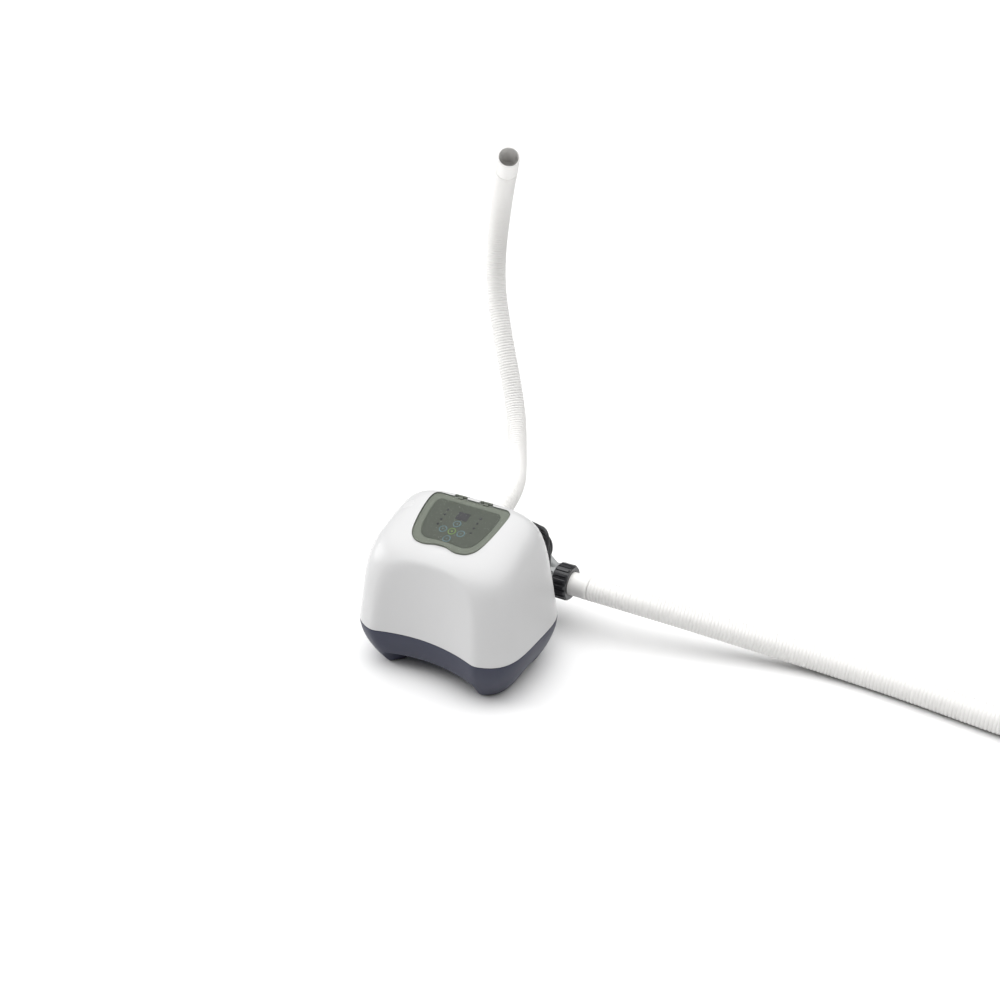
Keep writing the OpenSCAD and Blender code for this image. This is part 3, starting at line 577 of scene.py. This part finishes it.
def base_point(z, t):
    """The ring of the base's outside at height z, t inside."""
    q = shell_point(ANGLES, 0.0, 1.0, 0)
    s = base_inset(z) + t
    x = q[:, 0] * (1 - s / HALF_W)
    y = CASE_Y + (q[:, 1] - CASE_Y) * (1 - s / FRONT_D)
    return np.stack([x, y, np.broadcast_to(z, x.shape)], axis=-1)


degrees = np.degrees(ANGLES)
from_foot = np.abs(np.abs((degrees % 180) - 90) - (90 - FOOT_ANGLE))
ease = np.clip((from_foot - 12) / 8, 0, 1)
under = FOOT_LEVEL + ARCH_RISE * ease * ease * (3 - 2 * ease)
sides = [base_point(under, 26), base_point(under, 8), base_point(under, 1.6)]
sides += [base_point(under + 0.45, 0.5), base_point(under + 1.4, 0)]
sides += [base_point(SEAM - share * (SEAM - under - 1.4), 0)
          for share in np.linspace(0.97, 0.02, 22)]
sides += [base_point(SEAM - 0.5, 0.1), base_point(SEAM, 0.9)]
sides += [base_point(z, WALL) for z in (SEAM, 70, 54, 41)]
bottom = base_point(FLOOR_LEVEL, 34)
base = piece("base_moulded", *loft([bottom] + sides), "slate_plastic", sharp=50)
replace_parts(base, "base")

# posts of the base and lugs of the shell that the casing screws go through
POST = [(6.4, 40), (6, 43), (6, 87.2), (5.4, 87.8), (2.5, 87.8), (2.4, 86), (2.4, 40)]
LUG_LOW, LUG_HIGH = 88.1, 97.1
posts = [placed(Matrix.Translation((x, CASE_Y + y, 0)), lathe(POST, 40, closed=True))
         for x, y in ((-134, 0), (134, 0), (0, -82), (0, 100))]
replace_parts(piece("base_posts", *joined(*posts), "slate_plastic"), "base")
lugs = [rounded_box((x, CASE_Y + y, LUG_LOW), (x + dx, CASE_Y + y + dy, LUG_HIGH), 1)
        for x, y, dx, dy in ((-156.5, -8, 29.5, 16), (127, -8, 29.5, 16),
                             (-8, -98.4, 16, 23), (-8, 93, 16, 25))]
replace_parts(piece("shell_lugs", *joined(*lugs), "white_gloss"), "upper_shell")

# pads under the feet, rounded at the floor
pads = []
for degree in (FOOT_ANGLE, 180 - FOOT_ANGLE, 180 + FOOT_ANGLE, 360 - FOOT_ANGLE):
    spot = base_point(FOOT_LEVEL, 13)[int(round(degree / 360 * TURNS)) % TURNS]
    pads.append(placed(Matrix.Translation((spot[0], spot[1], 0)),
                       lathe([(8.9, 0), (9.7, 0.3), (10, 1), (10, 2.2)], 48)))
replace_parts(piece("foot_pads", *joined(*pads), "black_rubber"), "rubber_feet")

# ------------------------------------------------------------------ control panel

PANEL = Matrix.Translation((0, CASE_Y, PANEL_Z)) @ Matrix.Rotation(PANEL_TILT, 4, "X")
HALF_SHIELD = [(66, 54.5), (72, 52), (76, 46.5), (77.4, 38), (77.2, 28), (75.6, 9), (72.6, -11),
               (68.6, -29), (64, -41.5), (58, -49.5), (50.5, -55), (42, -57.6), (32, -58.4),
               (24, -57.4), (17, -55.2), (10, -53.2), (3.5, -52.4)]
HALF_INNER = [(54, 43.5), (60, 41), (63, 36), (63.6, 28), (62, 6), (58, -16), (52.5, -31),
              (46, -39.5), (36, -43.6), (24, -43.2), (14, -42.2)]
ROUND = 288                     # directions in which an outline is measured
LONG_EDGE, NEAR = 60, 7         # an edge this long is straight, and bends its neighbours little


def drawn_near(point, beside):
    """A far neighbour moved to a short distance, so that a curve beside it doesn't overshoot."""
    gap = np.linalg.norm(point - beside)
    return beside + (point - beside) * min(1, NEAR / gap) if gap > LONG_EDGE else point


def polar(half):
    """Outline of a mirrored shape as the distance from its middle in each direction."""
    side = np.array(half, float)
    mirrored = side[::-1] * [-1, 1]
    loop = np.vstack([side, mirrored])
    n = len(loop)
    dense = []
    for k in range(n):
        a, b, c, d = (loop[(k + j - 1) % n] for j in range(4))
        straight = np.linalg.norm(c - b) > LONG_EDGE
        a, d = drawn_near(a, b), drawn_near(d, c)
        for t in np.linspace(0, 1, 40, endpoint=False):
            dense.append(b + (c - b) * t if straight else catmull(a, b, c, d, t))
    dense = np.array(dense)
    angle = np.arctan2(dense[:, 1], dense[:, 0])
    order = np.argsort(angle)
    at = np.linspace(-math.pi, math.pi, ROUND, endpoint=False)
    reach = np.linalg.norm(dense, axis=1)[order]
    return at, np.interp(at, angle[order], reach, period=2 * math.pi)


WHERE, OUTLINE = polar(HALF_SHIELD)
_, INLINE = polar(HALF_INNER)


def panel_ring(reach, n):
    return [tuple(PANEL @ Vector((r * math.cos(a), r * math.sin(a), n)))
            for r, a in zip(reach, WHERE)]


def panel_loft(levels):
    """A shape of rings in the panel's frame, each an outline and its height n."""
    return loft([panel_ring(reach, n) for reach, n in levels])


def prism(reach, low, high):
    return panel_loft([(reach, low), (reach, high)])


def panel_box(u, w, n, size):
    return placed(PANEL, rounded_box((u, w, n), (u + size[0], w + size[1], n + size[2]), 0.02))


def panel_rod(u, w, r, low, high, count=48):
    return placed(PANEL @ Matrix.Translation((u, w, 0)), lathe([(r, low), (r, high)], count))


HINGE_W, HINGE_N, KNUCKLE_R = 57.5, 1.6, 2.2
HINGES = (-25, 25)              # u of the two hinges


def crossways(u0, u1):
    """A knuckle along u on the hinge line."""
    r, length = KNUCKLE_R, u1 - u0
    turn = Matrix.Translation((u0, HINGE_W, HINGE_N)) @ Matrix.Rotation(math.pi / 2, 4, "Y")
    rod = [(r - 0.3, 0), (r, 0.3), (r, length - 0.3), (r - 0.3, length)]
    return placed(PANEL @ turn, lathe(rod, 32))


def drill(x, z, r, y0, depth, count=48):
    """A round cutter along y."""
    return placed(towards((x, y0, z), (0, 1, 0)), lathe([(r, 0), (r, depth)], count))


# the shell's openings: panel, two hinges, strain relief, hook, cell lead, sensor lead
cut_away(shell, [
    prism(OUTLINE + 0.35, -14, 30),
    panel_box(-39, 50, -3, (28, 14, 30)), panel_box(11, 50, -3, (28, 14, 30)),
    drill(8, 196, 6.1, -10, 60), drill(74, 193.3, 4.1, -10, 60),
    drill(-24, 164, 3.4, 16, 30, 32), drill(16, 150, 3.4, 20, 30, 32),
])

KEY_GAP = 17.4                  # between the middles of neighbouring keys
BUTTONS = {"top": (0, 0), "bottom": (0, -2 * KEY_GAP), "left": (-KEY_GAP, -KEY_GAP),
           "right": (KEY_GAP, -KEY_GAP), "centre": (0, -KEY_GAP)}
LEDS = [(x, 23.6 - 11.4 * k) for x in (-32, 32) for k in range(4)]
holes = [panel_rod(u, w, 6.9, -6, 3) for u, w in BUTTONS.values()]
holes += [panel_rod(u, w, 1.6, -6, 3, 24) for u, w in LEDS]
holes.append(panel_box(-10.6, 9.3, -6, (22.4, 17.4, 9)))

# tray: a raised rim that is softly crowned and slopes down to the sunken membrane
crown = [(OUTLINE * 0.3, -4), (OUTLINE - 0.5, -4), (OUTLINE, -3.6), (OUTLINE, -0.1)]
crown += [(OUTLINE - 0.25, 0.35), (OUTLINE - 0.9, 0.68)]
for share, n in ((0.86, 0.8), (0.7, 0.8), (0.5, 0.72), (0.3, 0.62), (0.16, 0.45), (0.08, 0.2),
                 (0.03, -0.15), (0.0, -0.7)):
    crown.append((INLINE + (OUTLINE - 0.9 - INLINE) * share, n))
crown += [(INLINE * 0.96, -0.7), (INLINE * 0.3, -0.7)]
tray = piece("tray_moulded", *panel_loft(crown), "sage_plastic")
pilots = [placed(PANEL @ Matrix.Translation((u, w, -5)), lathe([(1.2, 0), (1.2, 4)], 24))
          for u in (-66, 66) for w in (-20, 30)]
cut_away(tray, holes + pilots)
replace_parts(tray, "panel_tray")
knuckles = [crossways(u - 5, u + 5) for u in HINGES]
knuckles += [placed(PANEL, rounded_box((u - 5, 52, -2), (u + 5, 59.6, 2.4), 0.7)) for u in HINGES]
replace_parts(piece("tray_knuckles", *joined(*knuckles), "cover_edge"), "panel_tray")

sheet_edge = INLINE * 0.996
membrane = piece("membrane_printed", *panel_loft([
    (sheet_edge * 0.3, -0.6), (sheet_edge * 0.9, -0.6), (sheet_edge, -0.6), (sheet_edge, -0.12),
    (sheet_edge - 0.25, 0.0), (sheet_edge * 0.9, 0.0), (sheet_edge * 0.3, 0.0)]), "sage_membrane")
cut_away(membrane, holes)
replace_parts(membrane, "panel_membrane")

# keys: a cap with an inked edge, a raised mark on it, and a ring printed round it on the membrane
KEY_ROUND = 64
CAP = [(1.8, -4.7), (1.8, -2.4), (6.2, -2.4), (6.6, -2.1), (6.6, 0.05), (6.45, 0.22), (6.1, 0.3),
       (5.6, 0.3), (5.4, 0.24), (3.4, 0.2), (1.2, 0.17)]
INKED = range(4, 7)             # bands of the cap's profile that carry the ink
ARROW = [(0, 1.9), (-1.9, -1.1), (-1.1, -1.1), (0, 0.6), (1.1, -1.1), (1.9, -1.1)]
DOT = [(1.5 * math.cos(a), 1.5 * math.sin(a)) for a in np.linspace(0, 6.02, 24)]
MARK_TURNS = {"top": 0, "left": 90, "bottom": 180, "right": 270, "centre": 0}
MARK_LEVEL, MARK_HEIGHT = 0.12, 0.14
RING = [(7.15, -0.02), (7.15, 0.06), (6.92, 0.06), (6.92, -0.02)]
for key, (u, w) in BUTTONS.items():
    centre = key == "centre"
    ink = "ring_green" if centre else "ring_blue"
    spot = PANEL @ Matrix.Translation((u, w, 0))
    verts, faces = placed(spot, lathe(CAP, KEY_ROUND))
    marks = [int(min(face) // KEY_ROUND in INKED and max(face) < KEY_ROUND * len(CAP))
             for face in faces]
    key_cap = piece(f"key_{key}", verts, faces, "sage_membrane", f"{key}_button", marks=marks,
                    extra=(ink,))
    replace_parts(key_cap, f"button_{key}")
    turn = Matrix.Rotation(math.radians(MARK_TURNS[key]), 4, "Z")
    outline = DOT if centre else ARROW
    count = len(outline)
    verts = [(x, y, n) for n in (0, MARK_HEIGHT) for x, y in outline]
    faces = [(i, (i + 1) % count, count + (i + 1) % count, count + i) for i in range(count)]
    faces += [tuple(range(count)), tuple(range(count, 2 * count))]
    mark_spot = PANEL @ Matrix.Translation((u, w, MARK_LEVEL)) @ turn
    piece(f"mark_{key}", *placed(mark_spot, (verts, faces)), ink, f"{key}_button")
    piece(f"ring_{key}", *placed(spot, lathe(RING, KEY_ROUND, closed=True)), ink)

# beads round the lamps
beads = [placed(PANEL @ Matrix.Translation((u, w, 0)),
                lathe([(2.3, -0.02), (2.2, 0.08), (1.75, 0.1), (1.62, -0.02)], 32, closed=True))
         for u, w in LEDS]
piece("lamp_beads", *joined(*beads), "dark_lens")

# clear cover: plate with a rolled edge and its knuckles; the edge is coloured darker, partly its
# own rim and partly painted shadow of the gap round the cover
plate = [(OUTLINE * 0.3, 1.2), (OUTLINE - 2.2, 1.2), (OUTLINE - 0.3, 1.2), (OUTLINE, 1.5),
         (OUTLINE, 2.6), (OUTLINE - 0.15, 2.88), (OUTLINE - 0.5, 3.0), (OUTLINE - 2.2, 3.0),
         (OUTLINE * 0.3, 3.0)]
verts, faces = panel_loft(plate)
EDGE_AND_SHADE_BANDS = range(2, 6)        # bands of the plate's profile coloured darker: its own rim, with painted shadow of the gap round the cover
marks = [int(min(face) // ROUND in EDGE_AND_SHADE_BANDS and max(face) < ROUND * len(plate))
         for face in faces]
cover = piece("cover_clear", verts, faces, "clear_cover", "cover", marks=marks,
              extra=("cover_edge",))
cut_away(cover, [panel_box(u - 6, 49.5, 0, (12, 14, 4)) for u in HINGES])
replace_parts(cover, "panel_cover")
ears = [crossways(u + side * 8.6 - 2.8, u + side * 8.6 + 2.8) for u in HINGES for side in (-1, 1)]
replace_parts(piece("cover_ears", *joined(*ears), "cover_edge", "cover"), "panel_cover")

# ------------------------------------------------------------------ cell, unions and sensor


def nut_mesh(root, rib, ribs, height, low_r, high_r, step, count):
    """A ribbed union nut: flat-topped ribs with sloping sides, chamfered rims, a stepped bore."""
    rings = []
    levels = [(0, 0.0, -1.2), (0.8, 0.0, -0.3), (1.6, 0.0, 0), (2.6, 0.6, 0), (3.6, 1, 0),
              (height * 0.5, 1, 0), (height - 3.6, 1, 0), (height - 2.6, 0.6, 0),
              (height - 1.6, 0, 0), (height - 0.8, 0, -0.3), (height, 0, -1.2)]
    for z, tall, cut in levels:
        ring = []
        for i in range(count):
            a = 2 * math.pi * i / count
            phase = abs((a * ribs / (2 * math.pi)) % 1 - 0.5) * 2
            shape = min(1, max(0, (0.62 - phase) / 0.16))
            r = root + cut + (rib - root) * shape * tall
            ring.append((r * math.cos(a), r * math.sin(a), z))
        rings.append(ring)
    for r, z in ((high_r + 0.6, height), (high_r, height - 0.6), (high_r, step), (low_r, step),
                 (low_r, 0.6), (low_r + 0.6, 0)):
        rings.append(circle(r, z, count))
    return loft(rings, closed=True)


union = nut_mesh(31.5, 33.6, 18, 30, 25.6, 22.4, 17.3, 288)
RIB_SHARP = 28                  # degrees, so that the slopes of the ribs stay crisp
for side, spot in (("right", towards((94, CELL_Y, CELL_Z), (1, 0, 0))),
                   ("rear", towards(PORT + 50 * PORT_DIR, PORT_DIR))):
    nut = piece(f"{side}_nut_ribbed", *placed(spot, union), "black_plastic", f"{side}_union",
                sharp=RIB_SHARP)
    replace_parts(nut, f"{side}_nut")

# cell housing: barrel with bands, grey collar at the right, branch for the flow sensor
barrel = [(17, 106), (24.9, 106), (25.5, 105.4), (25.5, 93.8), (29.4, 93.6), (30, 93), (30, 91),
          (29.6, 90.7), (29.6, 83.4), (30, 83), (30, 80.6), (29.4, 80), (28, 80), (28, 51.5),
          (30, 51), (30, 46), (28, 45.5), (28, -66.5), (30, -67), (30, -72), (28, -72.5),
          (28, -98), (23, -98), (23, 78), (17, 84)]
port = [(27.5, 0), (27.5, 41), (27, 42), (25.5, 42), (25.5, 61.4), (24.9, 62), (17, 62), (17, 0)]
knob = [(28 * math.cos(a), 28 * math.sin(a)) for a in np.linspace(-1.5, 1.5, 25)]
branch = Matrix.Translation((115.7, CELL_Y, CELL_Z)) @ Matrix.Rotation(math.radians(-49), 4, "Y")
boss = [(4.5, 36), (9.3, 36), (9.3, 46), (9, 47), (9, 63.6), (8.6, 64), (4.5, 64)]
housing = joined(
    placed(towards((0, CELL_Y, CELL_Z), (1, 0, 0)), lathe(barrel, closed=True)),
    placed(towards(PORT, PORT_DIR), lathe(port, closed=True)),
    placed(Matrix.Translation(PORT), lathe(knob)),
    placed(branch, lathe(boss, 48, closed=True)),
    rounded_box((-40, 100, 104), (-6, 124, 116), 1.5))
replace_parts(piece("cell_moulded", *housing, "grey_plastic"), "cell_housing")

cap = joined(rounded_box((-42, 98, 116), (-4, 126, 132), 3),
             rounded_box((-36, 104, 131), (-10, 120, 132.6), 0.7))
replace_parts(piece("terminal_cap_moulded", *cap, "black_plastic"), "terminal_cap")

probe = [(3.5, 26), (4.3, 27), (4.3, 64), (8.3, 64), (8.7, 64.4), (8.7, 66.1), (8.3, 66.5),
         (7.6, 66.5), (7.6, 70), (7.2, 70.4), (7.2, 71.4), (7.6, 71.8), (7.6, 87), (7.2, 88.5),
         (3.8, 92.2), (3.6, 92.5)]
fins = [placed(branch, rounded_box((-1.2, s * 3.5 - 0.6, 19.6), (1.2, s * 3.5 + 0.6, 27.2), 0.3))
        for s in (-1, 1)]
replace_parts(piece("sensor_moulded", *joined(placed(branch, lathe(probe, 64)), *fins),
                  "light_grey_plastic"), "flow_sensor")
ring_nut = nut_mesh(11.1, 12, 12, 11.5, 9.1, 7.75, 9.2, 144)
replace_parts(piece("sensor_ring_ribbed",
                  *placed(branch @ Matrix.Translation((0, 0, 57.4)), ring_nut),
                  "light_grey_plastic", "sensor_ring", sharp=RIB_SHARP), "sensor_nut")

for name, route, r, up in (
        ("cell_lead", [(-23, 98, 124), (-23, 84, 125), (-24, 66, 133), (-24, 50, 150),
                       (-24, 36, 162), (-24, 16, 164)], 3, (1, 0, 0)),
        ("sensor_lead", [(46, 112, 144), (40, 107, 149), (32, 92, 155), (22, 68, 156),
                         (16, 44, 151), (16, 20, 150)], 2.2, (0, 0, 1))):
    line = relax(spline(route, 1.5), 20)
    wire = piece(f"{name}_smooth", *sweep(line, [r] * len(line), 20, up), "black_rubber")
    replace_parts(wire, name)

# ------------------------------------------------------------------ floor and light

REACH = 400                     # metres, so that the floor's edge is the horizon
mesh = bpy.data.meshes.new("floor")
mesh.from_pydata([(x * REACH, y * REACH, 0) for x, y in ((-1, -1), (1, -1), (1, 1), (-1, 1))],
                 [], [(0, 1, 2, 3)])
floor = bpy.data.objects.new("floor", mesh)
mesh.materials.append(finish("floor_pale", (0.80, 0.80, 0.80), 0.9, mottle=0.0, bump=0.0))
scene.collection.objects.link(floor)

# studio light: bright overhead, fading to dark at the horizon, and one soft lamp low at the left
world = bpy.data.worlds.new("studio")
scene.world = world
world.use_nodes = True
tree = world.node_tree
sky = tree.nodes["Background"]
where = tree.nodes.new("ShaderNodeTexCoord")
split = tree.nodes.new("ShaderNodeSeparateXYZ")
tree.links.new(where.outputs["Generated"], split.inputs["Vector"])
fade = tree.nodes.new("ShaderNodeMapRange")
fade.interpolation_type = "SMOOTHSTEP"
fade.inputs["From Min"].default_value = 0.5
fade.inputs["From Max"].default_value = 0.95
fade.inputs["To Min"].default_value = 0.06
fade.inputs["To Max"].default_value = 3.3
tree.links.new(split.outputs["Z"], fade.inputs["Value"])
tree.links.new(fade.outputs["Result"], sky.inputs["Strength"])
sky.inputs["Color"].default_value = (1, 1, 1, 1)

key_light = bpy.data.lights.new("key", "AREA")
key_light.shape = "RECTANGLE"
key_light.size = key_light.size_y = 1.4
key_light.energy = 36
key_lamp = bpy.data.objects.new("key", key_light)
key_lamp.location = (-2.6, -0.9, 1.0)
aim = Vector((0, 0, 0.15)) - key_lamp.location
key_lamp.rotation_euler = aim.to_track_quat("-Z", "Y").to_euler()
scene.collection.objects.link(key_lamp)
